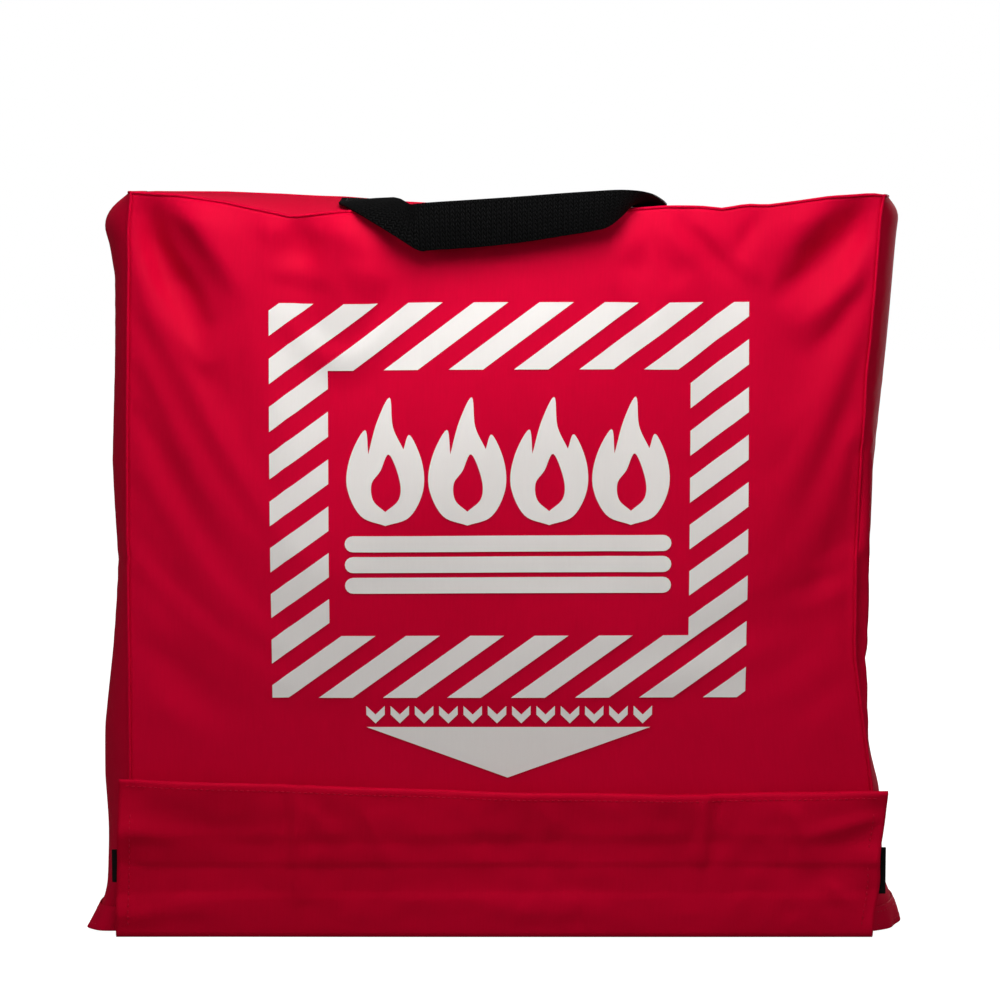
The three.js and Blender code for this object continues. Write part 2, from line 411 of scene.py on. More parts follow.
def printMaterial():
    material, tree, shader = newMaterial("whitePrint", 0.55, 0.4)
    coords = tree.nodes.new("ShaderNodeTexCoord")
    threads = useGroup(tree, plainWeave, coords.outputs["UV"], Threads=coatedCloth["threads"], Slub=0.2)
    # the white carries painted weave shade, darker where the threads dip
    white = colourRamp(tree, threads.outputs["Shade"], (0.86, 0.82, 0.79), (0.95, 0.915, 0.885))
    tree.links.new(white, shader.inputs["Base Color"])
    addBump(tree, shader, [(threads.outputs["Height"], 0.2, 0.08 * mm)])
    return material


def webbingMaterial():
    material, tree, shader = newMaterial("blackWebbing", 0.6, 0.05)
    coords = tree.nodes.new("ShaderNodeTexCoord")
    plait = useGroup(tree, webbingWeave, coords.outputs["UV"])
    # the black carries the plait's painted shade, darker in its hollows
    black = colourRamp(tree, plait.outputs["Shade"], (0.0003, 0.0003, 0.0003), (0.0030, 0.0030, 0.0032))
    tree.links.new(black, shader.inputs["Base Color"])
    addBump(tree, shader, [(plait.outputs["Height"], 0.9, 0.55 * mm)])
    return material


def threadMaterial(name, low, high):
    material, tree, shader = newMaterial(name, 0.5, 0.15)
    coords = tree.nodes.new("ShaderNodeTexCoord")
    fuzz = useGroup(tree, fibreFuzz, coords.outputs["Object"], Scale=2500.0)
    # colour from the fibres' painted shade and their real patches of tone
    tree.links.new(colourRamp(tree, fuzz.outputs["Shade"], low, high), shader.inputs["Base Color"])
    addBump(tree, shader, [(fuzz.outputs["Height"], 0.4, 0.1 * mm)])
    return material


def fuzzyMaterial(name, low, high, scale, depth, weave=0.0, sheen=0.05):
    material, tree, shader = newMaterial(name, 0.95, 0.1, sheen)
    coords = tree.nodes.new("ShaderNodeTexCoord")
    fuzz = useGroup(tree, fibreFuzz, coords.outputs["Object"], Scale=scale)
    # colour from the fibres' painted shade and their real patches of tone
    colour = colourRamp(tree, fuzz.outputs["Shade"], low, high, 0.3, 0.75)
    tree.links.new(colour, shader.inputs["Base Color"])
    heights = [(fuzz.outputs["Height"], 0.8, depth)]
    if weave:
        threads = useGroup(tree, plainWeave, coords.outputs["UV"], Threads=weave, Slub=0.8)
        heights.insert(0, (threads.outputs["Height"], 0.8, 0.5 * mm))
    addBump(tree, shader, heights)
    return material


whitePrint = printMaterial()
blackWebbing = webbingMaterial()
redThread = threadMaterial("redThread", (0.50, 0.001, 0.020), (0.70, 0.003, 0.038))
blackThread = threadMaterial("blackThread", (0.004, 0.004, 0.004), (0.025, 0.025, 0.025))
loopPile = fuzzyMaterial("loopPile", (0.002, 0.002, 0.002), (0.012, 0.012, 0.012), 1400.0, 0.9 * mm)
hookPile = fuzzyMaterial("hookPile", (0.002, 0.002, 0.002), (0.014, 0.014, 0.014), 700.0, 0.6 * mm)
greyWool = fuzzyMaterial("greyWool", (0.20, 0.19, 0.175), (0.40, 0.385, 0.36), 420.0, 0.7 * mm,
                         weave=520.0, sheen=0.3)
print("materials ready")


# camera, light and floor
shot = {"lens": 100.7, "distance": 1.462, "elevation": 6.0, "aim": (-0.0016, frontY, 0.2329)}


def buildCamera():
    data = bpy.data.cameras.new("camera")
    data.lens = shot["lens"]
    camera = bpy.data.objects.new("camera", data)
    tilt = math.radians(shot["elevation"])
    away = Vector((0, -math.cos(tilt), math.sin(tilt)))
    camera.location = Vector(shot["aim"]) + away * shot["distance"]
    camera.rotation_euler = (math.pi / 2 - tilt, 0, 0)
    scene.collection.objects.link(camera)
    scene.camera = camera


lamps = {
    "overhead": {"at": (0.0, -0.34, 0.80), "size": 0.4, "power": 2.4, "towards": (0, 0, 0.32)},
    "closeKey": {"at": (0.0, -0.24, 0.56), "size": 0.2, "power": 0.68, "towards": (0, 0, 0.33)},
    "leftFill": {"at": (-1.3, -1.2, 0.8), "size": 0.8, "power": 4.2, "towards": (0, 0, 0.2)},
    "rightFill": {"at": (1.4, -1.0, 0.8), "size": 0.8, "power": 3.2, "towards": (0, 0, 0.2)},
    "behind": {"at": (0.6, 1.5, 0.30), "size": 0.9, "power": 9, "towards": (0, 0, 0.2)},
}
studio = {"skyLight": 0.15, "floorColour": (0.3, 0.3, 0.3), "floorSize": 6, "floorGap": 0.2 * mm}


def buildLights():
    for name, lamp in lamps.items():
        data = bpy.data.lights.new(name, "AREA")
        data.size = lamp["size"]
        data.energy = lamp["power"]
        light = bpy.data.objects.new(name, data)
        light.location = lamp["at"]
        aim = Vector(lamp["towards"]) - Vector(lamp["at"])
        light.visible_camera = False
        light.rotation_euler = aim.to_track_quat("-Z", "Y").to_euler()
        scene.collection.objects.link(light)
    world = bpy.data.worlds.new("studio")
    world.use_nodes = True
    sky = world.node_tree.nodes["Background"]
    sky.inputs["Color"].default_value = (1, 1, 1, 1)
    # plain white behind the bag, but only a little light from it
    seen = world.node_tree.nodes.new("ShaderNodeLightPath").outputs["Is Camera Ray"]
    strength = mathNode(world.node_tree, "MULTIPLY_ADD", seen, 1 - studio["skyLight"], studio["skyLight"])
    world.node_tree.links.new(strength, sky.inputs["Strength"])
    scene.world = world


def buildFloor():
    bm = bmesh.new()
    bmesh.ops.create_grid(bm, x_segments=1, y_segments=1, size=studio["floorSize"])
    material, tree, shader = newMaterial("paleFloor", 0.7, 0.2)
    shader.inputs["Base Color"].default_value = (*studio["floorColour"], 1)
    shader.inputs["Emission Color"].default_value = (1, 1, 1, 1)
    seen = tree.nodes.new("ShaderNodeLightPath")
    tree.links.new(seen.outputs["Is Camera Ray"], shader.inputs["Emission Strength"])
    floor = toObject("floor", bm, material, smooth=False)
    floor.data.transform(Matrix.Translation((0, 0, -studio["floorGap"])))


scene.view_settings.view_transform = "Standard"
buildCamera()
buildLights()
buildFloor()
print("camera, light and floor ready")


# the bag, sizes in millimetres
bag = {
    "columns": 80, "rows": 80, "deep": 20,
    "cloth": 0.7 * mm,
    # height of the top seam from the left corner to the right one
    "topLine": [(-194, 392.6), (-172, 391.6), (-145, 387.7), (-126, 383.7), (-110, 380.3), (-104, 381),
                (-84, 382.9), (-60, 383.1), (0, 382.1), (60, 383.6), (83, 385.3), (100, 385.4),
                (112, 384.3), (124, 386.3), (134, 385.9), (150, 387.9), (167, 390.3), (187, 391.6),
                (194, 391)],
    "backLine": [(-194, 393), (-150, 393), (-120, 392), (-84, 390), (-60, 388), (0, 385), (84, 383),
                 (120, 382), (160, 385), (194, 390)],
    # across position of the front seams, by height
    "leftSeam": [(3, -198), (90, -197), (250, -196.5), (300, -195.7), (376, -194), (392, -192)],
    "rightSeam": [(3, 194.7), (78, 195.2), (110, 190.7), (150, 185.2), (200, 185.2), (298, 189.2),
                  (318, 191.2), (360, 194.2), (382, 195.2), (392, 197)],
    # how far out each side gusset stands, by height
    "leftSide": [(0, -220), (3, -218), (10, -214.5), (20, -209.8), (28, -209), (50, -209.8), (80, -210.8),
                 (108, -210.2), (150, -206), (198, -202.4), (250, -204), (300, -203), (349, -202.5),
                 (365, -205.0), (376, -208), (384, -204.5), (390, -198), (392, -192.5)],
    "rightSide": [(3, 211), (11, 209), (26, 202.5), (77, 199), (95, 194.5), (114, 191), (146, 188),
                  (177, 189), (220, 192.5), (271, 196.5), (330, 201), (370, 204), (382, 205.5), (387, 203),
                  (390, 200), (392, 197.5)],
    # folds of the front: start, end, depth (outwards is positive), half width at start and end
    "frontFolds": [
        ((-192, 384), (-153, 322), -14.0, 12, 20),
        ((-196, 360), (-178, 310), 4.0, 8, 12),
        ((-168, 388), (-128, 338), 7.5, 11, 17),
        ((-108, 379), (-96, 352), -4.0, 6, 10),
        ((-132, 372), (-98, 356), -3.0, 5, 9),
        ((-120, 379), (-122, 362), 3.0, 6, 8),
        ((-90, 379), (-62, 350), 4.0, 7, 12),
        ((-130, 347), (-20, 338), -3.6, 4, 7),
        ((-128, 354), (-30, 346), 3.0, 6, 8),
        ((196, 384), (140, 341), -10.5, 11, 18),
        ((192, 358), (150, 322), 4.0, 9, 14),
        ((186, 342), (160, 312), -4.0, 7, 11),
        ((170, 384), (124, 350), 5.0, 9, 14),
        ((88, 381), (131, 340), -3.6, 3.2, 5.0),
        ((94, 384), (138, 344), 2.8, 4.5, 7.0),
        ((82, 376), (104, 350), 2.2, 5.0, 7.0),
        ((134, 380), (118, 360), -2.8, 3.5, 5.0),
        ((52, 358), (112, 351), -3.0, 4.0, 7.0),
        ((56, 366), (100, 362), 1.8, 6.0, 8.0),
        ((-178, 300), (-170, 110), -3.4, 14, 20),
        ((-150, 290), (-146, 140), 2.2, 14, 18),
        ((182, 300), (166, 210), -3.2, 10, 14),
        ((176, 230), (148, 120), -3.4, 10, 16),
        ((184, 190), (150, 170), 2.6, 6, 10),
        ((180, 140), (140, 105), -3.0, 7, 10),
        ((-190, 160), (-130, 100), -3.2, 9, 12),
        ((-186, 130), (-150, 96), 2.6, 7, 9),
    ],
    "backFolds": [
        ((-188, 384), (-140, 320), -6.0, 8, 13), ((188, 382), (145, 325), -6.5, 8, 13),
        ((-100, 378), (-70, 330), -2.4, 5, 9), ((90, 378), (60, 335), -2.6, 5, 9),
        ((-170, 280), (-160, 90), -2.5, 14, 20), ((172, 260), (158, 80), -2.8, 14, 20),
        ((-40, 300), (50, 270), -1.6, 10, 14), ((30, 190), (120, 160), 1.5, 12, 14),
    ],
    "sideStand": 1.018,  # the sides start a little wide, because the cloth draws in as it settles
    "backCorner": 193.5, "frontBulge": 2.6, "leanBack": 2.0, "backBulge": 2.5, "backFoldShare": 1.5,
    "flare": 0.5, "hemDrop": 2.3, "pinch": 1.3, "handleLift": 0.8, "middleSag": 1.0, "topRise": 0.6,
}

# how the cloth settles
hang = {
    "frames": 22, "cap": 5.0 * mm, "growth": 0.008, "quality": 6, "mass": 0.12, "stretch": 18, "shear": 6,
    "bend": 0.35, "airDamping": 2, "clearance": 1.0 * mm, "blanketSkin": 2.0 * mm,
}


def reliefOf(folds, x, z):
    # sum of the folds at a point of the panel, in millimetres
    total = np.zeros_like(x)
    for (x0, z0), (x1, z1), depth, wideStart, wideEnd in folds:
        length = math.hypot(x1 - x0, z1 - z0)
        ux, uz = (x1 - x0) / length, (z1 - z0) / length
        t = ((x - x0) * ux + (z - z0) * uz) / length
        off = np.abs((x - x0) * uz - (z - z0) * ux)
        width = wideStart + (wideEnd - wideStart) * np.clip(t, 0, 1)
        # a fold is a little sharper than a bell at its crest
        cross = 0.8 * np.exp(-(off / width) ** 2) + 0.2 * np.exp(-off / width)
        ends = ease(-0.12, 0.25, t) * (1 - ease(0.55, 1.2, t))
        total += depth * cross * ends
    return total


def ripple(x, z, seed, size):
    # soft seeded unevenness, about -1 to 1
    rng = np.random.default_rng(seed)
    total = np.zeros_like(x)
    for _ in range(7):
        angle, phase = rng.uniform(0, math.pi), rng.uniform(0, 2 * math.pi)
        wave = rng.uniform(0.6, 1.6) * size
        total += np.sin((x * math.cos(angle) + z * math.sin(angle)) * 2 * math.pi / wave + phase)
    return total / 4


def shapeBag(flat):
    # flat box positions of the shell, in metres, to the hanging shape
    x, y, z = flat.T / mm
    front, back = frontY / mm, backY / mm
    side, low, flatTop = seamX / mm, bagBottom / mm, seamTop / mm
    t = (y - front) / (back - front)
    height = np.clip((z - low) / (flatTop - low), 0, 1)
    top = np.interp(x, *zip(*bag["topLine"])) * (1 - t) + np.interp(x, *zip(*bag["backLine"])) * t
    h = low + height * (top - low)
    leftSeam = softTable(bag["leftSeam"], h, 4) * (1 - t) - bag["backCorner"] * t
    rightSeam = softTable(bag["rightSeam"], h, 4) * (1 - t) + bag["backCorner"] * t
    share = (x + side) / (2 * side)
    px = leftSeam + (rightSeam - leftSeam) * share
    crown = np.clip(1 - (2 * t - 1) ** 2, 0, 1)
    onLeft, onRight = x < -side + 0.01, x > side - 0.01
    leftOut = softTable(bag["leftSide"], h, 1.5) * bag["sideStand"]
    rightOut = softTable(bag["rightSide"], h, 1.5) * bag["sideStand"]
    # low on the left the hem flares out nearer the front
    forward = t ** (1 - bag["flare"] * (1 - ease(8, 60, h)))
    leftCrown = np.clip(1 - (2 * forward - 1) ** 2, 0, 1)
    px = np.where(onLeft, px + (leftOut - px) * leftCrown ** 0.85, px)
    px = np.where(onRight, px + (rightOut - px) * crown ** 0.85, px)
    sidePinch = ripple(y, h * 0.6, 12, 70) * bag["pinch"] * crown
    sidePinch = sidePinch * ease(30, 80, h) * (1 - ease(370, 390, h))
    px = px + np.where(onLeft | onRight, sidePinch, 0)
    hemDrop = bag["hemDrop"] * np.sqrt(crown) * (1 - ease(4, 45, h)) * (onLeft | onRight)
    # the front and back panels, flat where the blanket and the flap hold them
    nearSeam = ease(0, 14, side - np.abs(x)) * ease(0, 9, flatTop - (low + height * (flatTop - low)))
    upper = ease(84, 190, h)
    belly = np.sin(math.pi * share)
    relief = reliefOf(bag["frontFolds"], px, h) + 0.7 * ripple(x, h, 3, 95) + bag["frontBulge"] * belly
    relief = (relief + bag["leanBack"] * (1 - ease(270, flatTop, h))) * nearSeam * upper
    reliefBack = bag["backFoldShare"] * reliefOf(bag["backFolds"], px, h) + 0.9 * ripple(x, h, 8, 110)
    reliefBack = (reliefBack + bag["backBulge"] * belly) * nearSeam * ease(8, 60, h)
    onFront, onBack = t < 1e-4, t > 1 - 1e-4
    py = y + np.where(onFront, -relief, 0) + np.where(onBack, reliefBack, 0)
    # the top gusset: lifted where the handle is sewn on, slack between
    onTop = (height > 1 - 1e-5) & ~onFront & ~onBack & ~onLeft & ~onRight
    lift = bag["handleLift"] * np.exp(-((np.abs(x) - 73) / 24) ** 2)
    lift -= bag["middleSag"] * np.exp(-(x / 40) ** 2)
    pz = h - hemDrop + np.where(onTop, crown * (lift + bag["topRise"] + 0.5 * ripple(x, y, 5, 60)), 0)
    return np.stack([px, py, pz], axis=1) * mm


def buildShell():
    # five grids meet at their seams; each point keeps its place on the flat box
    bm = bmesh.new()
    flatLayer = bm.verts.layers.float_vector.new("flat")
    panelLayer = bm.faces.layers.int.new("panel")
    width, height = 2 * seamX, seamTop - bagBottom
    depth = backY - frontY
    across, up, deep = bag["columns"], bag["rows"], bag["deep"]
    plans = [
        (across, up, lambda u, v: (-seamX + u * width, frontY, bagBottom + v * height)),
        (across, up, lambda u, v: (seamX - u * width, backY, bagBottom + v * height)),
        (across, deep, lambda u, v: (-seamX + u * width, frontY + v * depth, seamTop)),
        (deep, up, lambda u, v: (-seamX, backY - u * depth, bagBottom + v * height)),
        (deep, up, lambda u, v: (seamX, frontY + u * depth, bagBottom + v * height)),
    ]
    for index, (columns, rows, place) in enumerate(plans):
        before = len(bm.faces)
        made = bmesh.ops.create_grid(bm, x_segments=columns, y_segments=rows, size=0.5)
        for vert in made["verts"]:
            vert.co = place(vert.co.x + 0.5, vert.co.y + 0.5)
        bm.faces.ensure_lookup_table()
        for face in bm.faces[before:]:
            face[panelLayer] = index
    bmesh.ops.remove_doubles(bm, verts=bm.verts, dist=1e-5)
    for vert in bm.verts:
        vert[flatLayer] = vert.co
    shell = toObject("shell", bm, redCloth)
    flat = np.zeros(len(shell.data.vertices) * 3)
    shell.data.vertices.foreach_get("co", flat)
    flat = flat.reshape(-1, 3)
    shaped = shapeBag(flat)
    shell.data.vertices.foreach_set("co", shaped.ravel())
    shell.data.update()
    return shell, flat, shaped


def hangCloth(shell, flat, shaped):
    # the cloth settles round the folded blanket, held at its hems, its tape and its top seams
    bm = bmesh.new()
    bmesh.ops.create_cube(bm, size=1)
    low, high = blanketLow, blanketHigh
    for vert in bm.verts:
        side = [high[k] if vert.co[k] > 0 else low[k] for k in range(3)]
        vert.co = Vector(side)
    core = toObject("core", bm, greyWool, smooth=False)
    core.modifiers.new("solid", "COLLISION")
    core.collision.thickness_outer = hang["blanketSkin"]
    held = shell.vertex_groups.new(name="held")
    x, y, z = flat.T
    topEdge = z > seamTop - 0.5 * mm
    weights = np.maximum(1 - ease(0.06, 0.15, z), 0) * (y < frontY + 1e-5)
    weights = np.maximum(weights, 1 - ease(0.012, 0.03, z))
    weights = np.maximum(weights, np.where(topEdge, 0.9, 0))
    underHandle = np.abs(np.abs(x) - 73.5 * mm) < 18 * mm
    weights = np.maximum(weights, np.where(topEdge & underHandle, 1.0, 0))
    weights = np.maximum(weights, 0.6 * ease(0.36, 0.39, z))
    onSides = np.abs(x) > seamX - 1e-5
    weights = np.maximum(weights, (0.6 + 0.3 * (1 - ease(0.10, 0.2, z))) * onSides)
    for index, weight in enumerate(weights):
        if weight > 0.001:
            held.add([index], float(weight), "REPLACE")
    cloth = shell.modifiers.new("hang", "CLOTH")
    settings = cloth.settings
    settings.quality = hang["quality"]
    settings.mass = hang["mass"]
    settings.tension_stiffness = settings.compression_stiffness = hang["stretch"]
    settings.shear_stiffness = hang["shear"]
    settings.bending_stiffness = hang["bend"]
    settings.vertex_group_mass = "held"
    settings.pin_stiffness = 1
    settings.shrink_min = -hang["growth"]
    settings.air_damping = hang["airDamping"]
    cloth.collision_settings.distance_min = hang["clearance"]
    cloth.collision_settings.use_self_collision = False
    cloth.point_cache.frame_start = 1
    cloth.point_cache.frame_end = hang["frames"]
    scene.frame_start, scene.frame_end = 1, hang["frames"]
    for step in range(1, hang["frames"] + 1):
        scene.frame_set(step)
    settled = shell.evaluated_get(bpy.context.evaluated_depsgraph_get()).to_mesh()
    moved = np.zeros(len(settled.vertices) * 3)
    settled.vertices.foreach_get("co", moved)
    moved = moved.reshape(-1, 3)
    shell.modifiers.remove(cloth)
    scene.frame_set(1)
    bpy.data.objects.remove(core)
    change = moved - shaped
    # the print area above the flap keeps its even front
    change *= np.where(y < frontY + 1e-5, ease(0.10, 0.30, z), 1.0)[:, None]
    size = np.linalg.norm(change, axis=1, keepdims=True)
    change *= np.minimum(1, hang["cap"] / np.maximum(size, 1e-9))
    return shaped + change


shell, flatPlaces, shapedPlaces = buildShell()
shapedPlaces = hangCloth(shell, flatPlaces, shapedPlaces)
shell.data.vertices.foreach_set("co", shapedPlaces.ravel())
shell.data.update()
print("bag cloth settled")


def seamLine(test, order):
    # points of the shell on one seam, in order along it
    x, y, z = flatPlaces.T
    found = np.nonzero(test(x, y, z))[0]
    return [Vector(shapedPlaces[i]) for i in found[np.argsort(flatPlaces[found, order])]]


def near(a, b):
    return np.abs(a - b) < 1e-5


panelNames = ["front_panel", "back_panel", "top_gusset", "left_gusset", "right_gusset"]


def separatePanels():
    for index, name in enumerate(panelNames):
        bm = bmesh.new()
        bm.from_mesh(shell.data)
        layer = bm.faces.layers.int["panel"]
        bmesh.ops.delete(bm, geom=[f for f in bm.faces if f[layer] != index], context="FACES")
        flatLayer = bm.verts.layers.float_vector["flat"]
        uvLayer = bm.loops.layers.uv.new("clothMap")
        for face in bm.faces:
            for loop in face.loops:
                x, y, z = loop.vert[flatLayer]
                loop[uvLayer].uv = [(x, z), (x, z), (x, y), (y, z), (y, z)][index]
        piece = toObject(name + "_cloth", bm, redCloth)
        thicken(piece, bag["cloth"], levels=1)
        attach(piece, "bag")
        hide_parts(name)


separatePanels()

# the front panel as a smooth surface, read anywhere by its flat place
columns, rows = bag["columns"], bag["rows"]
frontGrid = np.zeros((rows + 1, columns + 1, 3))
onFront = np.nonzero(near(flatPlaces[:, 1], frontY))[0]
gridColumn = np.rint((flatPlaces[onFront, 0] + seamX) / (2 * seamX) * columns).astype(int)
gridRow = np.rint((flatPlaces[onFront, 2] - bagBottom) / (seamTop - bagBottom) * rows).astype(int)
frontGrid[gridRow, gridColumn] = shapedPlaces[onFront]


def flatOf(x, z):
    # the flat place of a point seen at (x, z) on the hanging front, in metres
    h = z / mm
    left, right = softTable(bag["leftSeam"], h, 4), softTable(bag["rightSeam"], h, 4)
    flatX = -seamX + (x - left * mm) / ((right - left) * mm) * 2 * seamX
    top = along(bag["topLine"], flatX / mm) * mm
    return float(flatX), float(bagBottom + (z - bagBottom) * (seamTop - bagBottom) / (top - bagBottom))


def frontSurface(x, z, proud=0.0):
    # the point of the front cloth at a flat place, stood `proud` off it
    def at(px, pz):
        u = (px + seamX) / (2 * seamX) * columns
        v = (pz - bagBottom) / (seamTop - bagBottom) * rows
        i, j = int(np.clip(u, 1, columns - 2.001)), int(np.clip(v, 1, rows - 2.001))
        weights = []
        for f in (u - i, v - j):
            weights.append(np.array([(1 - f) ** 3, 3 * f ** 3 - 6 * f * f + 4,
                                     -3 * f ** 3 + 3 * f * f + 3 * f + 1, f ** 3]) / 6)
        return np.einsum("a,b,abk->k", weights[1], weights[0], frontGrid[j - 1:j + 3, i - 1:i + 3])
    here = at(x, z)
    normal = Vector(np.cross(at(x + mm, z) - here, at(x, z + mm) - here)).normalized()
    return Vector(here) + normal * proud, normal


bpy.data.objects.remove(shell)


# seams, bindings and hems of the bag
seams = {
    "roll": 0.8 * mm, "binding": 1.7 * mm, "bindingInset": 3.0 * mm, "bindingDeep": 5.6 * mm,
    "bindingLow": 17 * mm, "bindingHigh": 384 * mm, "bindingHalf": 187 * mm,
}


def seamPath(y):
    # up the left seam, along the top seam and down the right one, at the front or the back
    left = seamLine(lambda px, py, pz: near(px, -seamX) & near(py, y), 2)
    top = seamLine(lambda px, py, pz: near(pz, seamTop) & near(py, y), 0)
    right = seamLine(lambda px, py, pz: near(px, seamX) & near(py, y), 2)
    return left, top, right


def boundPart(points):
    # the part of a side seam that has a binding
    return [p for p in points if seams["bindingLow"] < p.z < seams["bindingHigh"]]


def buildSeams():
    for side, y, inward in (("front", frontY, 1), ("back", backY, -1)):
        left, top, right = seamPath(y)
        path = left + top[1:-1] + right[::-1]
        welt = roll(side + "_seam", path, seams["roll"], redCloth)
        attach(welt, "bag")
        # the bound seam allowance, inside
        inset = seams["bindingInset"]
        deep = inward * seams["bindingDeep"]
        inside = [p + Vector((inset, deep, 0)) for p in boundPart(left)]
        inside += [p + Vector((0, deep, -inset)) for p in top if abs(p.x) < seams["bindingHalf"]]
        inside += [p + Vector((-inset, deep, 0)) for p in boundPart(right[::-1])]
        binding = roll(side + "_binding_tape", inside, seams["binding"], innerCloth, 12)
        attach(binding, "bag")
        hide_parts(side + "_binding")
    for side, x in (("left", -seamX), ("right", seamX)):
        corner = seamLine(lambda px, py, pz: near(px, x) & near(pz, seamTop), 1)
        welt = roll(side + "_top_seam", corner, seams["roll"], redCloth)
        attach(welt, "bag")


gussetHem = {"height": 13 * mm, "stand": 0.3 * mm, "thickness": 0.6 * mm}


def gussetSurface(side, t, z):
    # outside of a side gusset near its open bottom, t runs from the front seam to the back one
    x = -seamX if side < 0 else seamX
    y = frontY + t * (backY - frontY)
    return Vector(shapeBag(np.array([[x, y, z]]))[0])


def buildGussetHems():
    for name, side in (("left", -1), ("right", 1)):
        out = Vector((side * gussetHem["stand"], 0, 0))
        low, high = bagBottom, bagBottom + gussetHem["height"]

        def place(u, v):
            t = (u if side > 0 else 1 - u) ** 1.6
            flutter = 0.7 * mm * math.sin(u * 23 + side) * (1 - v)
            surface = gussetSurface(side, 0.001 + 0.998 * t, low + v * (high - low))
            return surface + out + Vector((side * flutter, 0, 0))

        band = mappedSheet(name + "_gusset_hem_band", 40, 6, place, redCloth, (0.076, 0.013))
        thicken(band, gussetHem["thickness"], offset=1, rounded=0.3 * mm)
        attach(band, "bag")
        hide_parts(name + "_gusset_hem")
        bm = bmesh.new()
        for row in (0.24, 0.78):
            points = [place(u, row) + Vector((side * 0.7 * mm, 0, 0)) for u in np.linspace(0.02, 0.98, 50)]
            sewLine(bm, points, (side, 0, 0))
        sewnPiece(name + "_hem_stitches", bm, redThread, "bag")


def buildFrontHem():
    low, high = hemLow, hemHigh
    middle = (low.y + high.y) / 2

    def place(u, v):
        x = low.x + u * (high.x - low.x)
        z = low.z + v * (high.z - low.z)
        return Vector((x, middle + 0.25 * mm * math.sin(x * 95 + v * 2), z))

    band = mappedSheet("front_hem_band", 120, 5, place, redCloth, (0.38, 0.013))
    thicken(band, 0.8 * mm, offset=0, rounded=0.3 * mm)
    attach(band, "bag")
    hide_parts("front_hem")


buildSeams()
buildGussetHems()
buildFrontHem()
print("seams and hems done")


# the print on the front, in millimetres
ink = {
    "centre": 3.07, "thickness": 0.14 * mm, "cell": 4.85, "proud": 0.3 * mm,
    "outer": (248.5, 128.8, 337.3), "inner": (187.7, 162.5, 302.9),
    "stripePitch": 24.73, "stripeShare": 0.526, "slope": 0.735, "firstStripe": 320.4,
    "flames": 4, "flameArea": (-82.4, 87.4, 221.8, 288.8),
    "sheetBars": 3, "barGap": 0.3, "sheetArea": (-82.4, 87.4, 185.5, 216.3),
    "chevrons": 12, "chevronRow": (-73.5, 79.9, 114.8, 124.3),
    "arrow": ((-71.8, 112.8), (77.4, 112.8), (2.4, 85.6)),
    "flameLeft": [(0.0, 0.0), (-0.62, 0.16), (-0.96, 0.62), (-0.86, 1.1), (-0.5, 1.5), (-0.42, 1.12)],
    "flameTip": [(-0.2, 1.62), (0.12, 2.0), (0.2, 1.55), (0.46, 1.2)],
    "flameRight": [(0.62, 1.42), (0.92, 1.0), (0.94, 0.55), (0.6, 0.14), (0.0, 0.0)],
    "heart": [(0.0, 0.22), (0.34, 0.42), (0.36, 0.72), (0.1, 1.12), (-0.12, 0.86), (-0.34, 0.66),
              (-0.3, 0.4)],
}


def addOutline(bm, points):
    # a flat face of the print, drawn in x and z, in millimetres
    verts = [bm.verts.new((x, z, 0)) for x, z in points]
    return bm.faces.new(verts)


def cutEvery(bm, direction, offsets):
    normal = Vector((*direction, 0)).normalized()
    for at in offsets:
        bmesh.ops.bisect_plane(bm, geom=bm.verts[:] + bm.edges[:] + bm.faces[:], dist=1e-5,
                               plane_co=(*at, 0), plane_no=normal)


def layPrint(name, bm):
    # cut small enough to follow the folds, laid on the cloth and given the thickness of the ink
    bmesh.ops.triangulate(bm, faces=[f for f in bm.faces if len(f.verts) > 4])
    xs = [v.co.x for v in bm.verts]
    zs = [v.co.y for v in bm.verts]
    cell = ink["cell"]
    # the first cuts miss the corners of the drawing, so no slivers are left
    cutEvery(bm, (1, 0), [(x, 0) for x in np.arange(min(xs) + 0.63 * cell, max(xs), cell)])
    cutEvery(bm, (0, 1), [(0, z) for z in np.arange(min(zs) + 0.57 * cell, max(zs), cell)])
    bmesh.ops.remove_doubles(bm, verts=bm.verts, dist=0.002)
    uvLayer = bm.loops.layers.uv.new("clothMap")
    for face in bm.faces:
        for loop in face.loops:
            loop[uvLayer].uv = (loop.vert.co.x * mm, loop.vert.co.y * mm)
    for vert in bm.verts:
        vert.co, _ = frontSurface(*flatOf(vert.co.x * mm, vert.co.y * mm), ink["proud"])
    bmesh.ops.recalc_face_normals(bm, faces=bm.faces)
    facing = sum(f.normal.y * f.calc_area() for f in bm.faces)
    if facing > 0:
        bmesh.ops.reverse_faces(bm, faces=bm.faces)
    bmesh.ops.solidify(bm, geom=bm.faces[:], thickness=-ink["thickness"])
    piece = toObject(name, bm, whitePrint)
    piece.data.set_sharp_from_angle(angle=math.radians(40))
    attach(piece, "bag")
    return piece


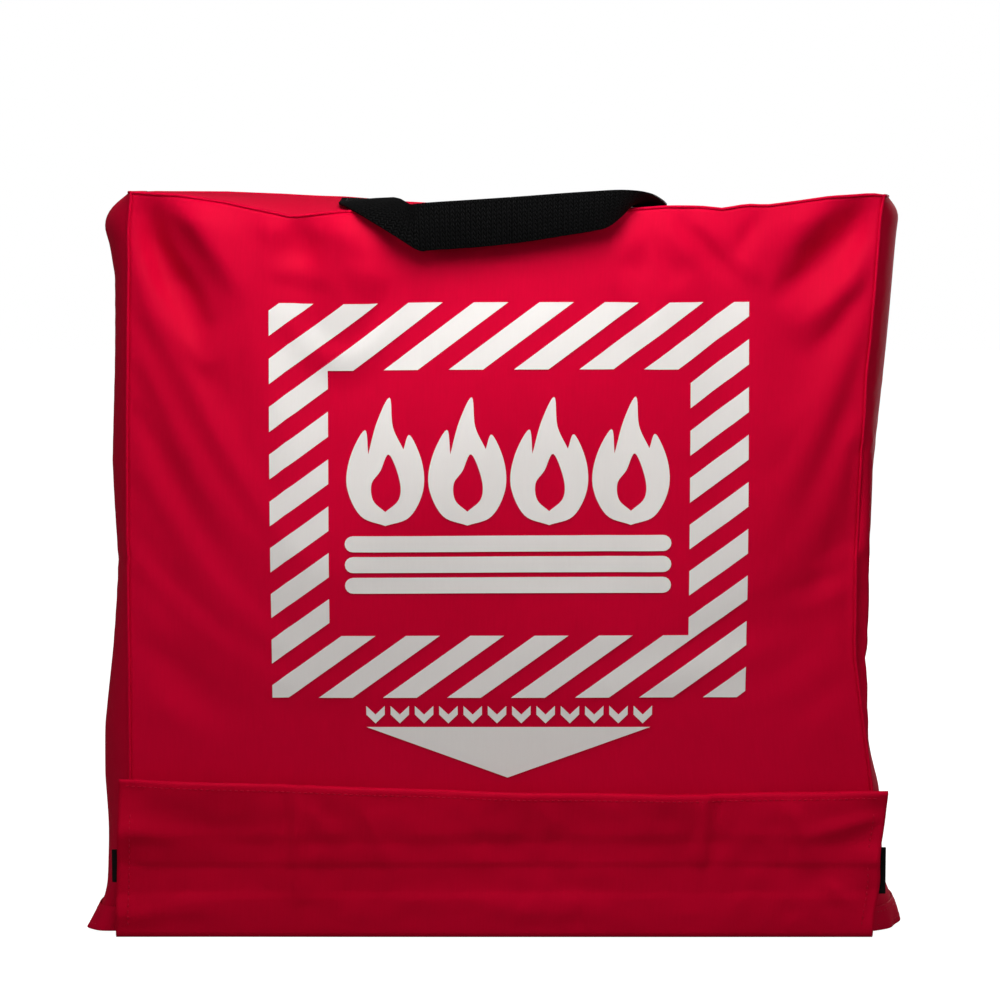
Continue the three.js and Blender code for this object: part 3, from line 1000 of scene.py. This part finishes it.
def buildStripes():
    bm = bmesh.new()
    half, low, high = ink["outer"][0] / 2, ink["outer"][1], ink["outer"][2]
    halfIn, lowIn, highIn = ink["inner"][0] / 2, ink["inner"][1], ink["inner"][2]
    c = ink["centre"]
    for x0, x1, z0, z1 in ((c - half, c - halfIn, low, high), (c + halfIn, c + half, low, high),
                           (c - halfIn, c + halfIn, low, lowIn), (c - halfIn, c + halfIn, highIn, high)):
        addOutline(bm, [(x0, z0), (x1, z0), (x1, z1), (x0, z1)])
    bmesh.ops.remove_doubles(bm, verts=bm.verts, dist=0.001)
    pitch, slope, first = ink["stripePitch"], ink["slope"], ink["firstStripe"]
    rise = slope * 2 * half
    edges = []
    for k in range(-int((high - low + rise) / pitch) - 2, 3):
        edges += [first + k * pitch, first + (k + ink["stripeShare"]) * pitch]
    cutEvery(bm, (-slope, 1), [(c - half, z) for z in edges])
    gone = []
    for face in bm.faces:
        middle = face.calc_center_median()
        phase = (middle.y - slope * (middle.x - (c - half)) - first) / pitch
        if phase % 1 > ink["stripeShare"]:
            gone.append(face)
    bmesh.ops.delete(bm, geom=gone, context="FACES")
    layPrint("print_stripes", bm)


def flatSpline(points, steps=6):
    return [(p.x, p.y) for p in spline([(x, z, 0) for x, z in points], steps)]


def buildPictogram():
    # a row of plain flames over a folded sheet
    bm = bmesh.new()
    x0, x1, z0, z1 = ink["flameArea"]
    wide = (x1 - x0) / ink["flames"]
    left, tip, right = ink["flameLeft"], ink["flameTip"], ink["flameRight"]
    outline = flatSpline(left)[:-1] + flatSpline([left[-1]] + tip)[:-1] + flatSpline([tip[-1]] + right)[:-1]
    heart = flatSpline(ink["heart"] + [ink["heart"][0]])[:-1]
    for k in range(ink["flames"]):
        cx = x0 + (k + 0.5) * wide
        size = (wide * 0.49, (z1 - z0) / 2)
        shape = [(cx + x * size[0], z0 + z * size[1]) for x, z in outline]
        hole = [(cx + x * size[0], z0 + z * size[1]) for x, z in heart]
        rings = []
        for ring in (shape, hole):
            verts = [bm.verts.new((x, z, 0)) for x, z in ring]
            rings += [bm.edges.new((a, b)) for a, b in zip(verts, verts[1:] + verts[:1])]
        bmesh.ops.triangle_fill(bm, use_beauty=True, use_dissolve=False, edges=rings, normal=(0, 0, 1))
    x0, x1, z0, z1 = ink["sheetArea"]
    bar = (z1 - z0) / (ink["sheetBars"] + ink["barGap"] * (ink["sheetBars"] - 1))
    for k in range(ink["sheetBars"]):
        low = z0 + k * bar * (1 + ink["barGap"])
        r = bar / 2
        ends = [math.pi / 2 - a for a in np.linspace(0, math.pi, 9)]
        rightEnd = [(x1 - r + r * math.cos(a), low + r + r * math.sin(a)) for a in ends]
        leftEnd = [(x0 + r - r * math.cos(a), low + r - r * math.sin(a)) for a in ends]
        addOutline(bm, rightEnd + leftEnd)
    layPrint("print_pictogram", bm)


def buildMarks():
    # a row of small chevrons that point down at the flap, and the arrow
    bm = bmesh.new()
    x0, x1, z0, z1 = ink["chevronRow"]
    step = (x1 - x0) / ink["chevrons"]
    arm = (z1 - z0) * 0.5
    for k in range(ink["chevrons"]):
        left, right = x0 + (k + 0.12) * step, x0 + (k + 0.88) * step
        middle = (left + right) / 2
        for a, b in (((left, z1), (middle, z1 - arm)), ((right, z1), (middle, z1 - arm))):
            points = [a, b, (b[0], z0), (a[0], z0 + arm)]
            addOutline(bm, points if a[0] > b[0] else points[::-1])
    layPrint("print_chevrons", bm)
    bm = bmesh.new()
    addOutline(bm, ink["arrow"])
    layPrint("print_arrow", bm)


buildStripes()
buildPictogram()
buildMarks()
print("print laid")


# hook and loop tapes
tapes = {"thickness": 1.1 * mm, "loose": 4.4 * mm, "looseLift": 2 * mm}


def buildTape(name, low, high, material, body, wander, spare=0.0):
    # spare is how far the left end hangs out past its flap
    middle = (low.y + high.y) / 2

    def place(u, v):
        x = low.x + u * (high.x - low.x) - spare * (1 - u)
        loose = (1 - float(ease(0, 0.05, u))) * (spare > 0)
        z = (low.z + high.z) / 2 + tapes["looseLift"] * loose
        z += (v - 0.5) * (high.z - low.z) * (1 - 0.3 * loose)
        z += wander * math.sin(x * 21 + 1)
        return Vector((x, middle + 0.12 * mm * math.sin(x * 60 + 2 * v), z))

    tape = mappedSheet(name + "_strip", 160, 10, place, material, (high.x - low.x, high.z - low.z))
    thicken(tape, tapes["thickness"], offset=0, rounded=0.35 * mm)
    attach(tape, body)
    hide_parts(name)
    bm = bmesh.new()
    for row in (0.08, 0.92):
        out = Vector((0, -tapes["thickness"] / 2 - 0.05 * mm, 0))
        points = [place(u, row) + out for u in np.linspace(0.01, 0.99, 80)]
        sewLine(bm, points, (0, -1, 0))
    sewnPiece(name + "_stitches", bm, blackThread, body)


buildTape("loop_tape", loopLow, loopHigh, loopPile, "bag", 0.2 * mm)


# the flap, in millimetres apart from its thickness
flap = {
    "cloth": 0.7 * mm, "under": 0.55, "startY": -27.0, "foldRadius": 2.6,
    "hemTurn": 10.0, "edgeRadius": 0.85, "leftEnd": -202, "width": 404,
    # the tape presses the flap in by tapeHollow over tapeBand, and it stands out above that
    "tapeHollow": 0.7, "tapeBand": (21, 26, 38, 42), "aboveTape": 0.9, "aboveBand": (50, 58),
    "lipOpen": 1.2, "endWave": 1.6, "uneven": [(0.45, 21, 60), (0.3, 22, 25)],
    "topRow": 3.6, "sideRow": 6.5,  # how far in the rows of stitches are
    "top": [(-202, 86.0), (-150, 84.4), (-108, 82.8), (-60, 80.8), (0, 78.8), (60, 78.2), (105, 77.8),
            (150, 78.6), (202, 79.8)],
    "left": [(0, -205), (20, -204.5), (50, -203.4), (84, -202.2)],
    "right": [(0, 195.5), (14, 196.5), (28, 199.5), (45, 198.5), (60, 201), (78, 202.5)],
    "folds": [
        ((-108, 84), (-106, 18), 1.7, 3.4, 5.0),
        ((-116, 82), (-114, 40), -0.8, 3.5, 5.0),
        ((-104, 72), (-84, 50), 0.9, 3.5, 6.0),
        ((-75, 72), (-50, 30), 1.0, 4.0, 7.0),
        ((106, 80), (108, 30), 1.8, 2.6, 3.5),
        ((113, 78), (116, 40), -1.0, 3.0, 5.0),
        ((150, 74), (168, 40), 1.8, 4.0, 7.0),
        ((200, 66), (160, 56), 1.8, 4.0, 6.0),
        ((172, 30), (200, 12), 1.8, 4.0, 7.0),
        ((-200, 60), (-160, 50), 1.4, 5.0, 8.0),
        ((-190, 14), (-140, 22), 1.2, 5.0, 8.0),
        ((20, 74), (30, 56), 0.8, 4.0, 6.0),
        ((-20, 20), (50, 14), 0.7, 5.0, 8.0),
    ],
}


flapFace = flapLow.y / mm + 0.6  # middle of the standing cloth


def flapRelief(x, z):
    # how far the standing flap is off its flat place, in millimetres, forwards
    xs, zs = np.array([float(x)]), np.array([float(z)])
    top = float(softTable(flap["top"], x, 12))
    folds = float(reliefOf(flap["folds"], xs, zs)[0])
    soft = sum(share * float(ripple(xs, zs, seed, size)[0]) for share, seed, size in flap["uneven"])
    a, b, c, d = flap["tapeBand"]
    press = -flap["tapeHollow"] * ease(a, b, z) * (1 - ease(c, d, z))
    press += flap["aboveTape"] * ease(*flap["aboveBand"], z)
    lip = (flap["lipOpen"] + 1.0 * math.sin(x / 31) + 0.7 * math.sin(x / 13 + 1)) * ease(top - 26, top, z)
    ends = flap["endWave"] * ease(176, 202, abs(x)) * math.sin(z / 7.0 + (0 if x < 0 else 2))
    total = folds + soft + press + lip + ends + 0.5
    return float(np.clip(total, -0.5, 8.0)) * float(ease(2, 14, z))


def flapPath(x, s):
    # a place on the flap, s millimetres along the cloth from where it lies under the bag
    front, under, r = flapFace, flap["under"], flap["foldRadius"]
    top = float(softTable(flap["top"], x, 12))
    run = flap["startY"] - (front + r)
    bend = r * math.pi / 2
    stand = top - flap["edgeRadius"] - under - r
    over = flap["edgeRadius"] * math.pi
    if s < run:
        return flap["startY"] - s, under
    if s < run + bend:
        a = (s - run) / r
        return front + r - r * math.sin(a), under + r - r * math.cos(a)
    if s < run + bend + stand:
        z = under + r + s - run - bend
        return front - flapRelief(x, z), z
    off = flapRelief(x, top)
    e = flap["edgeRadius"]
    if s < run + bend + stand + over:
        a = (s - run - bend - stand) / e
        return front + e - e * math.cos(a) - off, top - e + e * math.sin(a)
    down = s - run - bend - stand - over
    z = top - e - down
    return front + 2 * e - flapRelief(x, z), z


def flapLength(x):
    top = float(softTable(flap["top"], x, 12))
    r, e = flap["foldRadius"], flap["edgeRadius"]
    run = flap["startY"] - (flapFace + r)
    return run + r * math.pi / 2 + top - e - flap["under"] - r + e * math.pi + flap["hemTurn"]


def flapPlace(u, v):
    x = flap["leftEnd"] + flap["width"] * u
    y, z = flapPath(x, v * flapLength(x))
    left, right = float(softTable(flap["left"], z, 6)), float(softTable(flap["right"], z, 6))
    return Vector((left + (right - left) * u, y, z)) * mm


def buildFlapFront():
    sheet = mappedSheet("flap_front_cloth", 202, 62, flapPlace, flapCloth, (0.404, 0.098))
    thicken(sheet, flap["cloth"], offset=0)
    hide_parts("flap_front")
    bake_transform(sheet)
    rows = bmesh.new()
    topRow = []
    for x in np.linspace(-199, 197, 120):
        top = float(softTable(flap["top"], x, 12))
        z = top - flap["topRow"]
        topRow.append(Vector((x, flapFace - flapRelief(x, z) - 0.42, z)) * mm)
    sewLine(rows, topRow, (0, -1, 0))
    for side, edge in ((-1, flap["left"]), (1, flap["right"])):
        column = []
        for z in np.linspace(7, 68, 30):
            x = float(softTable(edge, z, 6)) - side * flap["sideRow"]
            y = flapFace - flapRelief(x, z) - 0.45
            column.append(Vector((x, y, z)) * mm)
        sewLine(rows, column, (0, -1, 0))
    sewnPiece("flap_stitches", rows, redThread, "flap_front")


def buildFlapHems():
    # the side edges turned in behind the flap
    for name, side, edge in (("left", -1, flap["left"]), ("right", 1, flap["right"])):
        def place(u, v):
            z = 7 + v * 59
            x = float(softTable(edge, z, 6)) - side * (0.6 + u * 9.8)
            return Vector((x, flapLow.y / mm + 2.0 - flapRelief(x, z), z)) * mm

        strip = mappedSheet("flap_side_hem_" + name, 6, 36, place, flapCloth, (0.010, 0.06))
        thicken(strip, 0.6 * mm, offset=0)
        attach(strip, "flap_front")
        if side < 0:
            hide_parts("flap_hem")


def buildFlapBottom():
    # down the back seam, under the bag and forward to the standing part
    back = backY / mm
    path = spline([(0, back + 0.55, 13), (0, back + 0.6, 8), (0, back + 0.3, 4.2), (0, 42.6, 1.3),
                   (0, 38, 0.55), (0, 20, 0.5), (0, 0, 0.5), (0, -15, 0.5), (0, -27.3, 0.55)], 6)
    reach = resample(path, 2.0)

    def place(u, v):
        y, z = [float(np.interp(v, np.linspace(0, 1, len(reach)), reach[:, k])) for k in (1, 2)]
        x = -199 + 396 * u + 1.6 * math.sin(y / 9.0) * (abs(u - 0.5) > 0.45)
        return Vector((x, y, z + 0.12 * math.sin(x / 17) * float(ease(0.3, 0.5, v)))) * mm

    sheet = mappedSheet("flap_bottom_cloth", 100, 52, place, flapCloth, (0.396, 0.085))
    thicken(sheet, 0.7 * mm, offset=0)
    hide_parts("flap_bottom")
    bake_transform(sheet)
    bm = bmesh.new()
    for z in (6.5, 11):
        points = [Vector((x, back + 1.02, z)) * mm for x in np.linspace(-192, 192, 60)]
        sewLine(bm, points, (0, 1, 0))
    sewnPiece("flap_seam_stitches", bm, redThread, "bag")
    for name, side in (("left", -1), ("right", 1)):
        def hemPlace(u, v):
            return Vector((side * (197 - 10 * u) - 1, -26 + 64 * v, 1.35)) * mm

        strip = mappedSheet("flap_bottom_hem_" + name + "_band", 6, 30, hemPlace, flapCloth, (0.010, 0.064))
        thicken(strip, 0.6 * mm, offset=0)
        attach(strip, "flap_bottom")
        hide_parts("flap_bottom_hem_" + name)


buildFlapFront()
buildFlapHems()
buildFlapBottom()
buildTape("hook_tape", hookLow, hookHigh, hookPile, "flap_front", 0.5 * mm, tapes["loose"])
print("flap done")


# the handle
handle = {
    "web": 1.5 * mm, "width": 25.4, "padStand": 0.9 * mm, "footX": 73.5 * mm,
    "stitchBox": (9.2 * mm, 9.6 * mm),
    "stitch": {"pitch": 2.6 * mm, "length": 2.1 * mm, "thread": 0.4 * mm},
    # the lower edge and the upper edge of the webbing, from the left sewn end to the right one
    "lower": [(-86.2, -5.8, 387.3), (-85.6, -16, 386.9), (-82.5, -26, 385.7), (-75.5, -35, 382.2),
              (-66, -40, 376.6), (-55, -43.3, 370.0), (-43.6, -44.3, 363.1), (-36, -44.3, 363.2),
              (-12, -44.2, 364.8), (10, -44.2, 367.2), (31, -44.2, 370.5), (47, -43.8, 373.1),
              (54, -42.5, 375.1), (60, -40, 379.8), (64, -35.6, 384.4), (64.6, -27, 386.4),
              (63, -16, 387.0), (60.8, -5.8, 386.6)],
    "upper": [(-60.8, -5.8, 387.3), (-59.5, -15, 388.7), (-57.0, -25, 389.6), (-53, -34, 389.0),
              (-50, -39, 387.7), (-47.6, -41.4, 386.6), (-44.5, -42.4, 386.8), (-37, -42.6, 387.6),
              (-12, -43.0, 389.2), (10, -43.0, 390.7), (31, -43.0, 392.3), (48, -42.6, 393.4),
              (56, -42.0, 393.9), (63, -39.5, 394.0), (71, -34, 393.4), (78, -26, 391.6),
              (83.5, -15.5, 388.6), (86.2, -5.8, 386.6)],
    "steps": 7,
}


def gussetTop(x, y):
    # height of the top gusset's cloth under the handle
    return float(shapeBag(np.array([[x, y, seamTop]]))[0][2])


def buildHandle():
    lower = spline(handle["lower"], handle["steps"])
    upper = spline(handle["upper"], handle["steps"])
    count = len(lower) - 1
    middleIndex = min(range(count), key=lambda k: abs((lower[k].x + upper[k].x) / 2 - 4))
    middles = [(a + b) / 2 for a, b in zip(lower, upper)]
    steps = [(b - a).length for a, b in zip(middles, middles[1:])]
    lengths = np.concatenate([[0], np.cumsum(steps)]) * mm
    for name, first, last in (("left", 0, middleIndex), ("right", middleIndex, count)):
        def place(u, v):
            k = int(round(first + u * (last - first)))
            across = upper[k] - lower[k]
            ahead = (lower[min(k + 1, count)] - lower[max(k - 1, 0)]).normalized()
            bow = ahead.cross(across.normalized()) * 0.9 * math.sin(math.pi * v)
            return (lower[k] + across * v + bow) * mm

        half = mappedSheet("handle_web_" + name, last - first, 12, place, blackWebbing)
        uv = half.data.uv_layers["clothMap"].data
        for loop in half.data.loops:
            u, v = uv[loop.index].uv
            uv[loop.index].uv = (float(np.interp(first + u * (last - first), range(count + 1), lengths)),
                                 v * handle["width"] * mm)
        thicken(half, handle["web"], offset=0, rounded=0.35 * mm)
        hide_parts("handle_strap")
        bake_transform(half)
    for name, low, high in (("left", endLow, endHigh), ("right", rightEndLow, rightEndHigh)):
        centre = (low + high) / 2
        halfWide, halfLong = handle["width"] / 2 * mm, (high.y - low.y) / 2

        def padPlace(u, v):
            x, y = centre.x + (2 * u - 1) * halfWide, centre.y + (2 * v - 1) * halfLong
            return Vector((x, y, gussetTop(x, y) + handle["padStand"]))

        pad = mappedSheet("handle_pad_" + name, 12, 14, padPlace, blackWebbing, (0.0254, 0.0254))
        for loop in pad.data.loops:
            u, v = pad.data.uv_layers["clothMap"].data[loop.index].uv
            pad.data.uv_layers["clothMap"].data[loop.index].uv = (v, u)
        thicken(pad, handle["web"], offset=0, rounded=0.35 * mm)
        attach(pad, "bag")
        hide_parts("handle_end_" + name)
        bm = bmesh.new()
        a, b = handle["stitchBox"]
        around = ((-1, -1), (1, -1), (1, 1), (-1, 1))
        corners = [Vector((centre.x + sx * a, centre.y + sy * b, 0)) for sx, sy in around]
        for start, end in ((0, 1), (1, 2), (2, 3), (3, 0), (0, 2), (1, 3)):
            run = [corners[start].lerp(corners[end], k / 10) for k in range(11)]
            for point in run:
                point.z = gussetTop(point.x, point.y) + handle["padStand"] + handle["web"] / 2 + 0.1 * mm
            sewLine(bm, run, (0, 0, 1), handle["stitch"])
        sewn = sewnPiece("handle_box_stitch_" + name, bm, blackThread, "bag")
        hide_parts("handle_stitching_" + name)


buildHandle()
print("handle done")


# the folded blanket
blanket = {
    "flat": (1.524, 2.032), "thickness": 1.9 * mm, "layerPitch": 2.42, "widthFolds": 4, "leaves": 6,
    "runSteps": 18, "turnSteps": 6, "upSteps": 22, "sideStep": 26, "endStep": 34,
}


def serpentine(runs, runLength, pitch, runSteps, turnSteps, offset0, short):
    # a line folded back and forth: (along, offset) with the direction that offset layers stack in,
    # its two free ends `short` of the folds
    points = []
    r = pitch / 2
    for k in range(runs):
        forward = k % 2 == 0
        offset = offset0 + k * pitch
        for i in range(runSteps + 1):
            t = i / runSteps
            if k == 0:
                t = short / runLength + t * (1 - short / runLength)
            if k == runs - 1:
                t = t * (1 - short / runLength)
            a = -runLength / 2 + r + (runLength - 2 * r) * (t if forward else 1 - t)
            points.append((a, offset, 0.0, 1.0 if forward else -1.0))
        if k < runs - 1:
            way = 1 if forward else -1
            for i in range(1, turnSteps):
                a = math.pi * i / turnSteps
                points.append((way * (runLength / 2 - r + math.sin(a) * r), offset + r - r * math.cos(a),
                               way * math.sin(a), way * math.cos(a)))
    return points


def buildBlanket():
    wide = (blanketHigh.x - blanketLow.x) / mm
    tall = (blanketHigh.z - blanketLow.z) / mm
    deep = (blanketHigh.y - blanketLow.y) / mm
    pitch = blanket["layerPitch"]
    leafPitch = deep / blanket["leaves"]
    across = serpentine(blanket["widthFolds"], wide - 1, pitch, blanket["runSteps"], blanket["turnSteps"],
                        -1.5 * pitch, blanket["sideStep"])
    half = 1.5 * pitch + 1.0
    up = serpentine(blanket["leaves"], tall - 2 * half, leafPitch, blanket["upSteps"], 10,
                    -2.5 * leafPitch, blanket["endStep"])
    centre = (blanketLow + blanketHigh) / 2 / mm

    def place(u, v):
        ax, layer, _, _ = across[int(round(u * (len(across) - 1)))]
        az, ay, nz, ny = up[int(round(v * (len(up) - 1)))]
        lean = 0.9 * math.sin(ax / 61 + az / 83) + 0.5 * math.sin(ax / 23 - az / 41 + 1)
        shift = 1.3 * math.sin(ay / 7.0 + ax / 90)
        return Vector((centre.x + ax * 0.983 + 0.5 * math.sin(az / 37 + layer),
                       centre.y + ay + layer * ny + lean * 0.4,
                       centre.z + az + layer * nz + shift * 0.5)) * mm

    cloth = mappedSheet("blanket_folded", len(across) - 1, len(up) - 1, place, greyWool, blanket["flat"])
    thicken(cloth, blanket["thickness"], offset=0)
    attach(cloth, "blanket")
    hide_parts("blanket")


buildBlanket()
print("blanket done")
